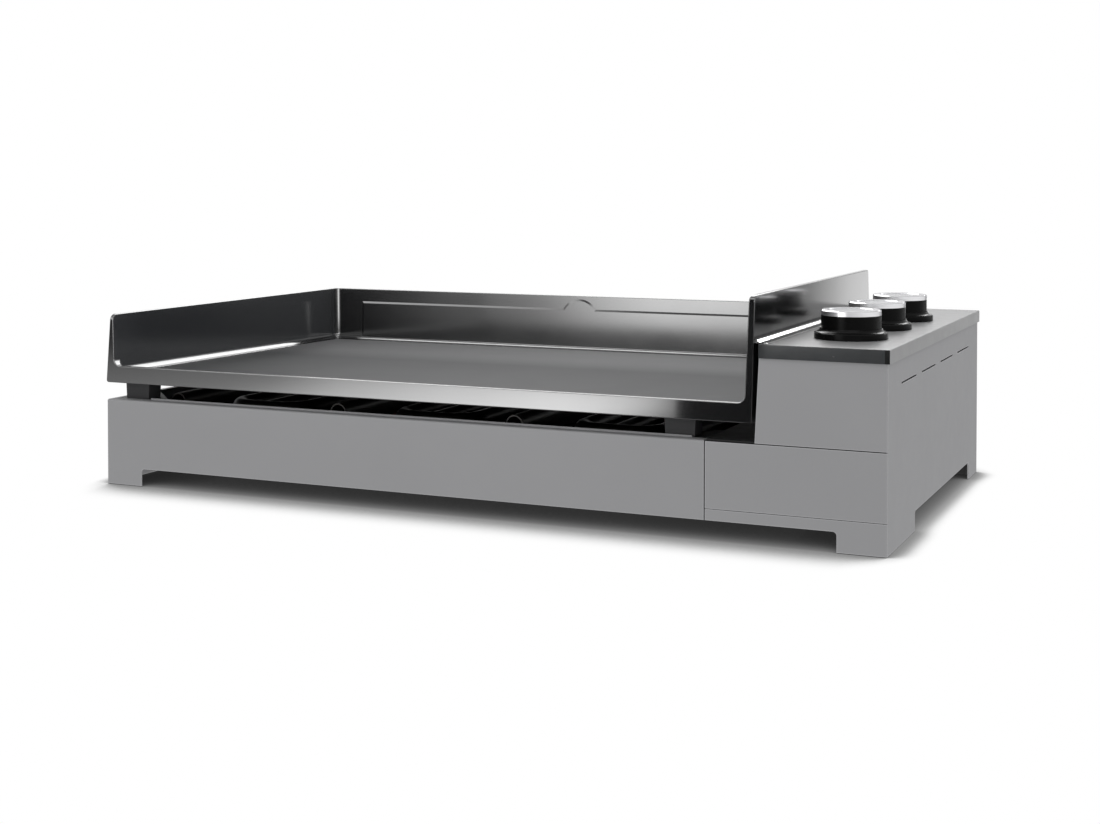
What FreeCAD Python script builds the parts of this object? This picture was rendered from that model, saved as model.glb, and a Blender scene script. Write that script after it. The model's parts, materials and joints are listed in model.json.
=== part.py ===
"""Table-top gas griddle: a cast cooking plate on a low burner base, controls on the right."""
import FreeCAD, Part
import math
import os

V = FreeCAD.Vector

# Chassis: x runs from its left face, y from its front face back, z up from the table
chassis_width = 908.0
chassis_depth = 490.0
panel_top = 98.6
panel_bottom = 20.4
sheet = 1.5
pad_reach = 0.6
foot_width = 48.0
side_front_foot = 126.8
side_rear_foot = 54.8
foot_corner_radius = 4.0
bend_radius = 2.0
corner_radius = 1.0
front_flange = 15.0
side_flange = 7.0
rail_flange = 10.0
lip_height = 1.8
lip_left_margin = 52.0
lip_right_margin = 17.2

# Seams between the left front panel, the drawer front and the rail below it
drawer_width = 179.7
seam_gap = 1.2
deck_side_gap = 1.6
gutter_drop = 9.0
rail_top = 31.4
drawer_gap = 0.6
deck_gap = 1.0

# Control housing and its top cover
housing_width = 128.7
housing_draw_in = 4.1
cap_bottom = 181.8
cap_top = 195.2
cap_overhang = 2.2
cap_corner_radius = 1.2
trim_thickness = 1.2
slot_height = 157.3
slot_first_y = 60.0
slot_length = 72.0
slot_pitch = 99.0
slot_width = 1.8
slot_count = 4

# Cooking plate: tapered cast walls round a floor that falls to the back
plate_bottom = 118.0
plate_left_bottom = -1.4
left_outer_lean = 0.0764
left_inner_foot = 10.9
left_inner_lean = -0.0277
plate_side_gap = 3.3
right_outer_lean = 0.0266
right_wall_foot = 8.1
right_inner_lean = 0.0427
back_wall_foot = 6.0
back_inner_lean = 0.0277
sill_top = 137.4
sill_depth = 6.0
sill_run = 4.0
floor_front = 129.1
floor_fall = 0.0076
floor_thickness = 6.0
skirt_thickness = 6.0
side_skirt_thickness = 8.0
low_wall_top = 197.3
high_wall_top = 242.0
high_wall_back_top = 18.0
high_wall_back_low = 7.0
high_wall_back_cut = 2.2
wall_corner_radius = 7.0
cavity_radius = 8.0
skirt_corner_radius = 3.0
wall_edge_radius = 1.0
relief_depth = 0.8
relief_slope = 2.6
relief_root = 1.5
relief_left = 54.0
relief_right = 46.0
relief_top = 179.8
bump_shift = 1.2
bump_half_width = 23.3
bump_height = 13.2
plate_foot_width = 31.0
plate_foot_depth = 22.0
plate_foot_taper = 1.5
plate_foot_side = 14.0
plate_foot_front = 18.0
ledge_gap = 0.6
ledge_thickness = 0.9
ledge_rise = 3.1
ledge_head = 1.0
ledge_slope = 4.4
ledge_reach = 8.6
ledge_front = 2.0
ledge_back = 20.0

# Drain in the low back corner of the plate
drain_from_right = 23.0
drain_from_back = 35.0
drain_radius = 9.0
spout_wall = 1.5
spout_flange = 6.0
spout_end = 90.0
deck_hole_margin = 4.0

# Burner base
tray_height = 24.0
tray_rim = 12.0
gusset_left = 90.0
gusset_right = 71.0
rib_first_x = 63.0
burner_end_margin = 9.2
last_rib_margin = 34.2
rib_half_width = 10.0
rib_sheet = 1.5
rib_top = 103.0
rib_margin = 50.0
rail_height = 78.0
rail_drop = 28.0
rail_width = 20.0
rail_margin = 46.0

# Burners: a round-cornered loop with a mixing tube down its middle
burner_count = 3
burner_radius = 10.0
burner_wall = 1.0
burner_half_width = 45.0
burner_corner = 28.0
mixing_radius = 9.0
mixing_end = 300.0
port_radius = 1.5
port_pitch = 24.0
sensor_plate_width = 16.0
sensor_plate_sheet = 1.5
sensor_plate_below = 6.0
sensor_reach = 22.0
sensor_drop = 16.0
thermocouple_radius = 2.0
electrode_radius = 3.0
electrode_tip_radius = 1.0
electrode_tip = 6.0
injector_radius = 5.0
injector_length = 22.0
injector_gap = 4.0
injector_hole = 0.6

# Gas line, taps and knobs
rail_from_right = 58.0
rail_z = 122.0
manifold_radius = 8.0
manifold_wall = 1.5
manifold_front = 60.0
inlet_radius = 10.48
inlet_length = 15.0
inlet_bore = 4.0
inlet_collar = 14.0
inlet_collar_length = 4.0
inlet_hole_gap = 1.0
bracket_width = 30.0
bracket_foot = 14.0
bracket_rise = 4.0
bracket_first_y = 150.0
bracket_pitch = 262.0
bracket_count = 2
knob_first_y = 95.0
knob_pitch = 114.0
knob_count = 3
tap_width = 28.0
tap_depth = 30.0
tap_bottom = 134.0
tap_shoulder = 158.0
tap_top = 170.0
tap_neck_radius = 12.0
tap_stem_radius = 5.0
tap_bore = 7.0
bonnet_thickness = 3.0
running_gap = 0.05
plug_bottom = 141.0
plug_top = 160.0
tang_width = 9.0
tang_thickness = 3.0
tang_gap = 0.2
tang_depth = 4.0
push_travel = 3.0
push_spare = 1.0
spindle_radius = 4.0
spindle_hole_margin = 3.0
bezel_radius = 36.5
bezel_height = 6.8
bezel_floor = 2.0
bezel_edge = 0.8
shoulder_height = 3.6
shoulder_rim = 0.6
well_gap = 0.65
knob_radius = 29.75
knob_wall = 2.5
knob_top = 218.6
knob_hub_radius = 7.4
knob_hub_drop = 15.0
knob_cap_height = 5.4
knob_cap_edge = 0.9
knob_cap_rim = 7.7
knob_cap_recess = 0.5
spring_radius = 5.4
spring_wire = 0.6
spring_turns = 5
pipe_radius = 3.0
pipe_bore = 2.0
pipe_bend = 8.0
pipe_height = 145.0
pipe_drop_reach = 50.0
pipe_spacing = 8.0
pipe_cross_z = 93.0
pipe_low_z = 56.0
pipe_rib_gap = 20.0
pipe_first_y = 340.0
pipe_pitch_y = 12.0
pipe_hole_margin = 1.5
igniter_side = 22.0
igniter_y = 372.0
igniter_width = 26.0
igniter_length = 60.0
igniter_height = 34.0
lead_radius = 1.5
lead_bend = 6.0
lead_side = 12.0
lead_start_z = 108.0
lead_first_y = 388.0
lead_pitch = 7.0
lead_low_z = 48.0
lead_hole_margin = 1.0

# Grease drawer
tray_side_gap = 14.3
tray_back_gap = 12.0
tray_bottom = 38.0
tray_rim_height = 86.0
tray_wall = 1.0
ring_inset = 1.2
ring_depth = 8.5
ring_lip = 14.0
runner_bottom = 58.0
runner_height = 14.0
runner_reach = 12.3
runner_front = 14.0
runner_back_gap = 14.0
slide_gap = 0.5
slide_clear = 1.0
slide_length = 440.0

# Small parts
glide_size = 24.0
glide_height = 16.0
vent_length = 60.0
vent_width = 4.0
vent_pitch = 90.0
vent_first_x = 94.0
vent_height = 62.0
screw_radius = 2.0
screw_length = 8.0
screw_head_radius = 4.0
screw_head_height = 2.2
screw_inset = 24.0
screw_drop = 12.0

# Places worked out from the sizes above
seam_x = chassis_width - drawer_width
housing_left_low = chassis_width - housing_width
housing_left_high = housing_left_low + housing_draw_in
plate_right_bottom = housing_left_low - plate_side_gap
right_inner_foot = plate_right_bottom - right_wall_foot
panel_end_x = seam_x - seam_gap / 2
bay_start_x = seam_x + seam_gap / 2
deck_start_x = bay_start_x + deck_side_gap
bay_end_x = chassis_width - sheet
divider_x = panel_end_x - sheet
drawer_top = panel_top - drawer_gap
deck_bottom = drawer_top + deck_gap
deck_top = deck_bottom + sheet
cap_left = housing_left_high
cap_right = chassis_width + cap_overhang
cap_front = -cap_overhang
cap_back = chassis_depth + cap_overhang
drain_x = plate_right_bottom - drain_from_right
drain_y = chassis_depth - drain_from_back
rail_x = chassis_width - rail_from_right
pipe_drop_x = rail_x - pipe_drop_reach
igniter_x = rail_x + igniter_side
lead_start_x = rail_x - lead_side
spout_radius = drain_radius + spout_wall
burner_z = rail_height + burner_radius
burner_front_y = rail_margin + rail_width
burner_back_y = chassis_depth - burner_front_y
injector_y = mixing_end + injector_gap
knob_ys = [knob_first_y + i * knob_pitch for i in range(knob_count)]
burner_pitch = (divider_x - burner_end_margin - rib_first_x) / burner_count
last_rib_x = divider_x - last_rib_margin
rib_xs = [rib_first_x + i * burner_pitch for i in range(burner_count)] + [last_rib_x]
burner_xs = [rib_first_x + (i + 0.5) * burner_pitch for i in range(burner_count)]
pipe_low_x = last_rib_x - pipe_rib_gap
vent_count = int((divider_x - vent_first_x) / vent_pitch)
well_radius = knob_radius + well_gap
well_floor = cap_top + bezel_floor
knob_bottom = well_floor + push_travel + push_spare
hub_bottom = knob_top - knob_wall - knob_hub_drop
tang_bottom = plug_top - tang_depth
tray_front = sheet + ring_depth
tray_left = panel_end_x + tray_side_gap
tray_right = bay_end_x - tray_side_gap
tray_back = chassis_depth - sheet - tray_back_gap
spindle_hole = spindle_radius + spindle_hole_margin

# The part's origin is under the middle of its overall box
skirt_corner_x = plate_left_bottom + left_outer_lean * skirt_corner_radius
plate_left = skirt_corner_x + skirt_corner_radius * (math.hypot(1, left_outer_lean) - 1)
origin_x = (plate_left + cap_right) / 2
origin_y = (cap_front + chassis_depth + inlet_length) / 2


def box(x0, x1, y0, y1, z0, z1):
    return Part.makeBox(x1 - x0, y1 - y0, z1 - z0, V(x0, y0, z0))


def rod(radius, start, end):
    axis = V(*end) - V(*start)
    return Part.makeCylinder(radius, axis.Length, V(*start), axis)


def face_of(points):
    corners = [V(*p) for p in points]
    return Part.Face(Part.makePolygon(corners + [corners[0]]))


def along_x(points_yz, x0, x1):
    return face_of([(x0, y, z) for y, z in points_yz]).extrude(V(x1 - x0, 0, 0))


def along_y(points_xz, y0, y1):
    return face_of([(x, y0, z) for x, z in points_xz]).extrude(V(0, y1 - y0, 0))


def along_z(points_xy, z0, z1):
    return face_of([(x, y, z0) for x, y in points_xy]).extrude(V(0, 0, z1 - z0))


def turned(points_rz, x, y):
    """A solid of revolution about the vertical line through x, y."""
    profile = face_of([(r, 0, z) for r, z in points_rz])
    solid = profile.revolve(V(0, 0, 0), V(0, 0, 1), 360)
    solid.translate(V(x, y, 0))
    return solid


def join(first, *others):
    return first.multiFuse(list(others)).removeSplitter()


def carve(shape, *tools):
    return shape.cut(Part.makeCompound(list(tools)))


def group(shapes):
    return Part.makeCompound(list(shapes))


def edges_at(shape, x=None, y=None, z=None):
    """The edges that lie wholly at the given coordinates."""
    def lies_at(edge):
        b = edge.BoundBox
        spans = ((x, b.XMin, b.XMax), (y, b.YMin, b.YMax), (z, b.ZMin, b.ZMax))
        return all(at is None or (abs(low - at) < 0.01 and abs(high - at) < 0.01)
                   for at, low, high in spans)
    return [e for e in shape.Edges if lies_at(e)]


def rounded(shape, radius, x=None, y=None, z=None):
    return shape.makeFillet(radius, edges_at(shape, x, y, z))


def rounded_between(shape, radius, ends):
    """Round the edges that run between the given pairs of corners."""
    chosen = []
    for a, b in ends:
        for edge in shape.Edges:
            points = [v.Point for v in edge.Vertexes]
            hits = [min(p.distanceToPoint(V(*c)) for p in points) for c in (a, b)]
            if max(hits) < 0.01:
                chosen.append(edge)
    return shape.makeFillet(radius, chosen)


def bent_path(points, radius):
    """Straight runs joined by tangent arcs."""
    corners = [V(*p) for p in points]
    edges = []
    start = corners[0]
    for before, corner, after in zip(corners, corners[1:], corners[2:]):
        back = (before - corner).normalize()
        ahead = (after - corner).normalize()
        half = back.getAngle(ahead) / 2
        reach = radius / math.tan(half)
        enter = corner + back * reach
        leave = corner + ahead * reach
        middle = corner + (back + ahead).normalize() * (radius / math.sin(half) - radius)
        edges.append(Part.LineSegment(start, enter).toShape())
        edges.append(Part.Arc(enter, middle, leave).toShape())
        start = leave
    edges.append(Part.LineSegment(start, corners[-1]).toShape())
    return Part.Wire(edges)


def swept(points, bend, radius):
    """A round bar along straight runs and bends."""
    ring = Part.Wire(Part.makeCircle(radius, V(*points[0]), V(*points[1]) - V(*points[0])))
    return bent_path(points, bend).makePipeShell([ring], True, False, 2)


def slot_cutter(length, width, depth):
    """A round-ended slot along x, its thickness along y, centred on the origin."""
    half = length / 2 - width / 2
    parts = [box(-half, half, -depth, depth, -width / 2, width / 2)]
    for end in (-half, half):
        parts.append(rod(width / 2, (end, -depth, 0), (end, depth, 0)))
    return join(*parts)


def footed_outline(start, end, foot_start, foot_end, top):
    """A panel's outline with a foot at each end; a foot of no width is left out."""
    points = []
    if foot_start > 0:
        points += [(start, pad_reach), (start + foot_start, pad_reach)]
        points += [(start + foot_start, panel_bottom)]
    else:
        points += [(start, panel_bottom)]
    if foot_end > 0:
        points += [(end - foot_end, panel_bottom), (end - foot_end, pad_reach)]
        points += [(end, pad_reach)]
    else:
        points += [(end, panel_bottom)]
    return points + [(end, top), (start, top)]


def housing_left_x(z):
    share = (z - deck_bottom) / (cap_bottom - deck_bottom)
    return housing_left_low + share * (housing_left_high - housing_left_low)


# Chassis panels
def front_panel():
    outline = footed_outline(0, panel_end_x, foot_width, 0, panel_top)
    panel = along_y(outline, 0, sheet)
    panel = rounded(panel, foot_corner_radius, x=foot_width, z=panel_bottom)
    flange = box(sheet, divider_x, 0, front_flange, panel_top - sheet, panel_top)
    lip_end = panel_end_x - lip_right_margin
    lip = box(lip_left_margin, lip_end, front_flange - sheet, front_flange,
              panel_top, panel_top + lip_height)
    panel = rounded(join(panel, flange, lip), bend_radius, y=0, z=panel_top)
    return rounded(panel, corner_radius, x=0, y=0)


def left_side_panel():
    outline = footed_outline(sheet, chassis_depth - sheet, side_front_foot - sheet,
                             side_rear_foot - sheet, panel_top)
    panel = along_x(outline, 0, sheet)
    for y in (side_front_foot, chassis_depth - side_rear_foot):
        panel = rounded(panel, foot_corner_radius, y=y, z=panel_bottom)
    flange = box(0, side_flange, front_flange, chassis_depth - front_flange,
                 panel_top - sheet, panel_top)
    return rounded(join(panel, flange), corner_radius, x=0, z=panel_top)


def right_side_panel():
    outline = footed_outline(sheet, chassis_depth - sheet, side_front_foot - sheet,
                             side_rear_foot - sheet, cap_top - sheet)
    panel = along_x(outline, bay_end_x, chassis_width)
    for y in (side_front_foot, chassis_depth - side_rear_foot):
        panel = rounded(panel, foot_corner_radius, y=y, z=panel_bottom)
    slots = []
    for i in range(slot_count):
        slot = slot_cutter(slot_length, slot_width, 2 * sheet)
        slot.rotate(V(0, 0, 0), V(0, 0, 1), 90)
        centre_y = slot_first_y + slot_length / 2 + i * slot_pitch
        slot.translate(V(chassis_width - sheet / 2, centre_y, slot_height))
        slots.append(slot)
    return carve(panel, *slots)


def back_panel():
    low_left = housing_left_x(panel_top)
    outline = footed_outline(0, chassis_width, foot_width, foot_width, panel_top)[:-2]
    outline += [(chassis_width, cap_top - sheet), (cap_left + sheet, cap_top - sheet),
                (cap_left + sheet, cap_bottom), (cap_left, cap_bottom),
                (low_left, panel_top), (0, panel_top)]
    panel = along_y(outline, chassis_depth - sheet, chassis_depth)
    for x in (foot_width, chassis_width - foot_width):
        panel = rounded(panel, foot_corner_radius, x=x, z=panel_bottom)
    flange = box(sheet, divider_x, chassis_depth - front_flange, chassis_depth,
                 panel_top - sheet, panel_top)
    panel = join(panel, flange)
    holes = [rod(inlet_radius + inlet_hole_gap, (rail_x, chassis_depth - 2 * sheet, rail_z),
                 (rail_x, chassis_depth + sheet, rail_z))]
    for x, z in back_screw_places():
        holes.append(rod(screw_radius, (x, chassis_depth - 2 * sheet, z),
                         (x, chassis_depth + sheet, z)))
    for i in range(vent_count):
        vent = slot_cutter(vent_length, vent_width, 2 * sheet)
        vent.translate(V(vent_first_x + i * vent_pitch, chassis_depth, vent_height))
        holes.append(vent)
    return carve(panel, *holes)


def lower_front_rail():
    outline = footed_outline(bay_start_x, chassis_width, 0, foot_width, rail_top)
    rail = along_y(outline, 0, sheet)
    rail = rounded(rail, foot_corner_radius, x=chassis_width - foot_width, z=panel_bottom)
    flange = box(bay_start_x, bay_end_x, 0, rail_flange, rail_top - sheet, rail_top)
    return rounded(join(rail, flange), corner_radius, x=chassis_width, y=0)


def drawer_bay_divider():
    """A wall with a stepped flange: a gutter under the gap beside the deck, then its seat."""
    y0 = front_flange
    y1 = chassis_depth - sheet
    gutter = deck_bottom - gutter_drop
    wall = box(divider_x, panel_end_x, sheet, y1, panel_bottom, gutter)
    low = box(divider_x, deck_start_x + sheet, y0, y1, gutter - sheet, gutter)
    riser = box(deck_start_x, deck_start_x + sheet, y0, y1, gutter - sheet, deck_bottom)
    seat = box(deck_start_x, tray_left, y0, y1, deck_bottom - sheet, deck_bottom)
    divider = join(wall, low, riser, seat)
    return carve(divider, *crossing_holes(divider_x - sheet, tray_left + sheet))


def drawer_bay_deck():
    left = housing_left_x(deck_bottom)
    outline = [(deck_start_x, 0), (left, 0), (left, sheet), (bay_end_x, sheet),
               (bay_end_x, chassis_depth - sheet), (deck_start_x, chassis_depth - sheet)]
    deck = along_z(outline, deck_bottom, deck_top)
    drain = rod(spout_radius + deck_hole_margin, (drain_x, drain_y, panel_top - front_flange),
                (drain_x, drain_y, deck_top + sheet))
    pipes = [rod(pipe_radius + pipe_hole_margin, (x, y, panel_top - sheet),
                 (x, y, deck_top + sheet)) for x, y in zip(pipe_drop_xs(), pipe_ys())]
    leads = [rod(lead_radius + lead_hole_margin, (lead_start_x, y, panel_top - sheet),
                 (lead_start_x, y, deck_top + sheet)) for y in lead_ys()]
    return carve(deck, drain, *pipes, *leads)


def drawer_bay_floor():
    return box(panel_end_x, bay_end_x, sheet, chassis_depth - sheet,
               panel_bottom, panel_bottom + sheet)


def base_tray():
    outer = box(sheet, divider_x, sheet, chassis_depth - sheet,
                tray_height, tray_height + tray_rim)
    inner = box(2 * sheet, divider_x - sheet, 2 * sheet, chassis_depth - 2 * sheet,
                tray_height + sheet, tray_height + 2 * tray_rim)
    return outer.cut(inner)


def corner_gusset(x, y, x_way, y_way, leg):
    """A triangular corner plate under the panel flanges, with a raised pad for a plate foot."""
    def triangle(x0, y0, reach_x, reach_y, z0, z1):
        corners = [(x0, y0), (x0 + x_way * reach_x, y0), (x0, y0 + y_way * reach_y)]
        return along_z(corners, z0, z1)
    low = triangle(x, y, leg, leg, panel_top - 2 * sheet, panel_top - sheet)
    inset_x = side_flange if x_way > 0 else 0
    inset_y = front_flange - sheet
    reach = leg - inset_x - inset_y
    pad = triangle(x + x_way * inset_x, y + y_way * inset_y, reach, reach,
                   panel_top - sheet, panel_top)
    return join(low, pad)


def corner_gussets():
    plates = []
    for y, y_way in ((sheet, 1), (chassis_depth - sheet, -1)):
        plates.append(corner_gusset(sheet, y, 1, y_way, gusset_left))
        plates.append(corner_gusset(divider_x, y, -1, y_way, gusset_right))
    return group(plates)


def burner_rails():
    rails = []
    for y, way in ((rail_margin, 1), (chassis_depth - rail_margin, -1)):
        far = y + way * rail_width
        thin = y + way * sheet
        top = box(sheet, divider_x, min(y, far), max(y, far), rail_height - sheet, rail_height)
        web = box(sheet, divider_x, min(y, thin), max(y, thin),
                  rail_height - rail_drop, rail_height)
        rails.append(join(top, web))
    return group(rails)


def cross_rib(x):
    """An arched sheet channel that runs from front to back."""
    def arch(radius, low):
        y0 = rib_margin
        y1 = chassis_depth - rib_margin
        centre = rib_top - rib_half_width
        block = box(x - radius, x + radius, y0, y1, low, centre)
        return join(block, rod(radius, (x, y0, centre), (x, y1, centre)))
    inner = arch(rib_half_width - rib_sheet, rail_height - rib_half_width)
    return arch(rib_half_width, rail_height).cut(inner)


def cross_ribs():
    ribs = [cross_rib(x) for x in rib_xs]
    holes = crossing_holes(last_rib_x - 2 * rib_half_width, last_rib_x + 2 * rib_half_width)
    ribs[-1] = carve(ribs[-1], *holes)
    return group(ribs)


# Burners and what lights and watches them
def burner(x):
    def loop(radius):
        left = x - burner_half_width
        right = x + burner_half_width
        middle = (burner_front_y + burner_back_y) / 2
        corners = [(left, middle, burner_z), (left, burner_front_y, burner_z),
                   (right, burner_front_y, burner_z), (right, burner_back_y, burner_z),
                   (left, burner_back_y, burner_z), (left, middle, burner_z)]
        return swept(corners, burner_corner, radius)
    start = burner_front_y
    mixer = rod(mixing_radius, (x, start, burner_z), (x, mixing_end, burner_z))
    bore = rod(mixing_radius - burner_wall, (x, start, burner_z), (x, mixing_end, burner_z))
    wing = box(x, x + burner_half_width, sensor_plate_y(), sensor_plate_y() + sensor_plate_width,
               burner_z - sensor_plate_below - sensor_plate_sheet, burner_z - sensor_plate_below)
    body = join(loop(burner_radius), mixer, wing)
    body = carve(body, loop(burner_radius - burner_wall), bore)
    ports = []
    count = int((burner_back_y - burner_front_y - 2 * burner_corner) / port_pitch)
    for side in (-burner_half_width, burner_half_width):
        for i in range(count + 1):
            y = burner_front_y + burner_corner + i * port_pitch
            ports.append(rod(port_radius, (x + side, y, burner_z),
                             (x + side, y, burner_z + 2 * burner_radius)))
    for across, radius in ((sensor_x(), thermocouple_radius), (electrode_x(), electrode_radius)):
        ports.append(rod(radius, (x + across, sensor_y(), rail_height - burner_radius),
                         (x + across, sensor_y(), burner_z + burner_radius)))
    return carve(body, *ports)


def sensor_plate_y():
    return mixing_end - 2 * sensor_plate_width


def sensor_y():
    return sensor_plate_y() + sensor_plate_width / 2


def sensor_x():
    return mixing_radius + thermocouple_radius + electrode_radius


def electrode_x():
    return sensor_x() + thermocouple_radius + 2 * electrode_radius


def sensor_bottom():
    return burner_z - sensor_plate_below - sensor_drop


def thermocouples():
    top = burner_z - sensor_plate_below + sensor_reach
    return group(rod(thermocouple_radius, (x + sensor_x(), sensor_y(), sensor_bottom()),
                     (x + sensor_x(), sensor_y(), top)) for x in burner_xs)


def spark_electrodes():
    rods = []
    for x in burner_xs:
        place = x + electrode_x()
        shoulder = burner_z - sensor_plate_below + sensor_reach - electrode_tip
        stem = rod(electrode_radius, (place, sensor_y(), sensor_bottom()),
                   (place, sensor_y(), shoulder))
        tip = rod(electrode_tip_radius, (place, sensor_y(), shoulder),
                  (place, sensor_y(), shoulder + electrode_tip))
        rods.append(join(stem, tip))
    return group(rods)


def injectors():
    nozzles = []
    for x in burner_xs:
        end = injector_y + injector_length
        body = rod(injector_radius, (x, injector_y, burner_z), (x, end, burner_z))
        nose = rod(injector_hole, (x, injector_y, burner_z), (x, end, burner_z))
        tail = rod(pipe_bore, (x, injector_y + injector_radius, burner_z), (x, end, burner_z))
        nozzles.append(carve(body, nose, tail))
    return group(nozzles)


# Gas line
def pipe_ys():
    first = pipe_first_y
    return [first + i * pipe_pitch_y for i in range(knob_count)]


def pipe_drop_xs():
    return [pipe_drop_x + i * pipe_spacing for i in range(knob_count)]


def feed_pipes():
    tubes = []
    runs = zip(knob_ys, pipe_ys(), pipe_drop_xs(), reversed(burner_xs))
    for tap_y, low_y, drop_x, burner_x in runs:
        points = [(rail_x - tap_width / 2, tap_y, pipe_height), (drop_x, tap_y, pipe_height),
                  (drop_x, low_y, pipe_height), (drop_x, low_y, pipe_cross_z),
                  (pipe_low_x, low_y, pipe_cross_z), (pipe_low_x, low_y, pipe_low_z),
                  (burner_x, low_y, pipe_low_z), (burner_x, low_y, burner_z),
                  (burner_x, injector_y + injector_length, burner_z)]
        tubes.append(swept(points, pipe_bend, pipe_radius).cut(swept(points, pipe_bend, pipe_bore)))
    return group(tubes)


def crossing_holes(x0, x1):
    """Holes for the pipes and leads where they run from the control side to the burners."""
    holes = [rod(pipe_radius + pipe_hole_margin, (x0, y, pipe_cross_z), (x1, y, pipe_cross_z))
             for y in pipe_ys()]
    for y in lead_ys():
        holes.append(rod(lead_radius + lead_hole_margin, (x0, y, pipe_cross_z),
                         (x1, y, pipe_cross_z)))
    return holes


def gas_rail():
    end = chassis_depth - sheet
    body = rod(manifold_radius, (rail_x, manifold_front, rail_z), (rail_x, end, rail_z))
    bore = rod(manifold_radius - manifold_wall, (rail_x, manifold_front + manifold_wall, rail_z),
               (rail_x, end, rail_z))
    return body.cut(bore)


def gas_rail_brackets():
    """Angle brackets on the deck, each with a half-round saddle for the rail."""
    brackets = []
    for i in range(bracket_count):
        y = bracket_first_y + i * bracket_pitch
        x0 = rail_x - bracket_width / 2
        x1 = rail_x + bracket_width / 2
        foot = box(x0, x1, y, y + bracket_foot, deck_top, deck_top + sheet)
        web = box(x0, x1, y, y + sheet, deck_top, rail_z + bracket_rise)
        saddle = rod(manifold_radius, (rail_x, manifold_front, rail_z),
                     (rail_x, chassis_depth, rail_z))
        notch = box(rail_x - manifold_radius, rail_x + manifold_radius, y - sheet, y + 2 * sheet,
                    rail_z, rail_z + 2 * bracket_rise)
        brackets.append(carve(join(foot, web), saddle, notch))
    return group(brackets)


def gas_inlet():
    start = chassis_depth - sheet
    collar = rod(inlet_collar, (rail_x, chassis_depth, rail_z),
                 (rail_x, chassis_depth + inlet_collar_length, rail_z))
    stem = rod(inlet_radius, (rail_x, start, rail_z),
               (rail_x, chassis_depth + inlet_length, rail_z))
    bore = rod(inlet_bore, (rail_x, start, rail_z),
               (rail_x, chassis_depth + 2 * inlet_length, rail_z))
    return join(collar, stem).cut(bore)


def gas_taps():
    taps = []
    for y in knob_ys:
        block = box(rail_x - tap_width / 2, rail_x + tap_width / 2,
                    y - tap_depth / 2, y + tap_depth / 2, tap_bottom, tap_shoulder)
        neck = rod(tap_neck_radius, (rail_x, y, tap_shoulder), (rail_x, y, tap_top))
        stem = rod(tap_stem_radius, (rail_x, y, rail_z), (rail_x, y, tap_bottom))
        stem = stem.cut(rod(manifold_radius, (rail_x, y - tap_depth, rail_z),
                            (rail_x, y + tap_depth, rail_z)))
        bore = rod(tap_bore, (rail_x, y, plug_bottom), (rail_x, y, tap_top - bonnet_thickness))
        bonnet = rod(spindle_radius + running_gap, (rail_x, y, plug_bottom),
                     (rail_x, y, tap_top + sheet))
        taps.append(carve(join(block, neck, stem), bore, bonnet))
    return group(taps)


def igniter_box():
    block = box(igniter_x, igniter_x + igniter_width, igniter_y, igniter_y + igniter_length,
                deck_top, deck_top + igniter_height)
    return block.makeFillet(corner_radius, block.Edges)


def lead_ys():
    return [lead_first_y + i * lead_pitch for i in range(burner_count)]


def ignition_leads():
    """One lead from the ignition box to the spark electrode of each burner."""
    leads = []
    for y, burner_x in zip(lead_ys(), reversed(burner_xs)):
        end_x = burner_x + electrode_x()
        points = [(igniter_x, y, lead_start_z), (lead_start_x, y, lead_start_z),
                  (lead_start_x, y, pipe_cross_z), (pipe_low_x, y, pipe_cross_z),
                  (pipe_low_x, y, lead_low_z), (end_x, y, lead_low_z),
                  (end_x, sensor_y(), lead_low_z), (end_x, sensor_y(), sensor_bottom())]
        leads.append(swept(points, lead_bend, lead_radius))
    return group(leads)


# Control housing
def housing_front_panel():
    top = cap_top - sheet
    outline = [(housing_left_x(deck_bottom), deck_bottom), (chassis_width, deck_bottom),
               (chassis_width, top), (cap_left + sheet, top), (cap_left + sheet, cap_bottom),
               (cap_left, cap_bottom)]
    panel = along_y(outline, 0, sheet)
    return rounded(panel, corner_radius, x=chassis_width, y=0)


def housing_left_panel():
    low = housing_left_x(deck_top)
    high = housing_left_high
    wall = along_y([(low, deck_top), (low + sheet, deck_top), (high + sheet, cap_bottom),
                    (high, cap_bottom)], sheet, chassis_depth - sheet)
    tab = box(low, low + front_flange, sheet, chassis_depth - sheet, deck_top, deck_top + sheet)
    return join(wall, tab)


def control_cap():
    front = cap_front + trim_thickness
    shell = box(cap_left, cap_right, front, cap_back, cap_bottom, cap_top)
    shell = rounded(shell, cap_corner_radius, x=cap_right, z=cap_top)
    shell = rounded(shell, cap_corner_radius, y=cap_back, z=cap_top)
    inner = box(cap_left + sheet, cap_right - sheet, 0, cap_back - sheet,
                cap_bottom - sheet, cap_top - sheet)
    holes = [rod(spindle_hole, (rail_x, y, cap_bottom), (rail_x, y, cap_top + sheet))
             for y in knob_ys]
    return carve(shell, inner, *holes)


def cap_front_trim():
    strip = box(cap_left, cap_right, cap_front, cap_front + trim_thickness, cap_bottom, cap_top)
    radius = trim_thickness / 2
    strip = rounded(strip, radius, x=cap_right, y=cap_front)
    return rounded(strip, radius, y=cap_front, z=cap_top)


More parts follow.
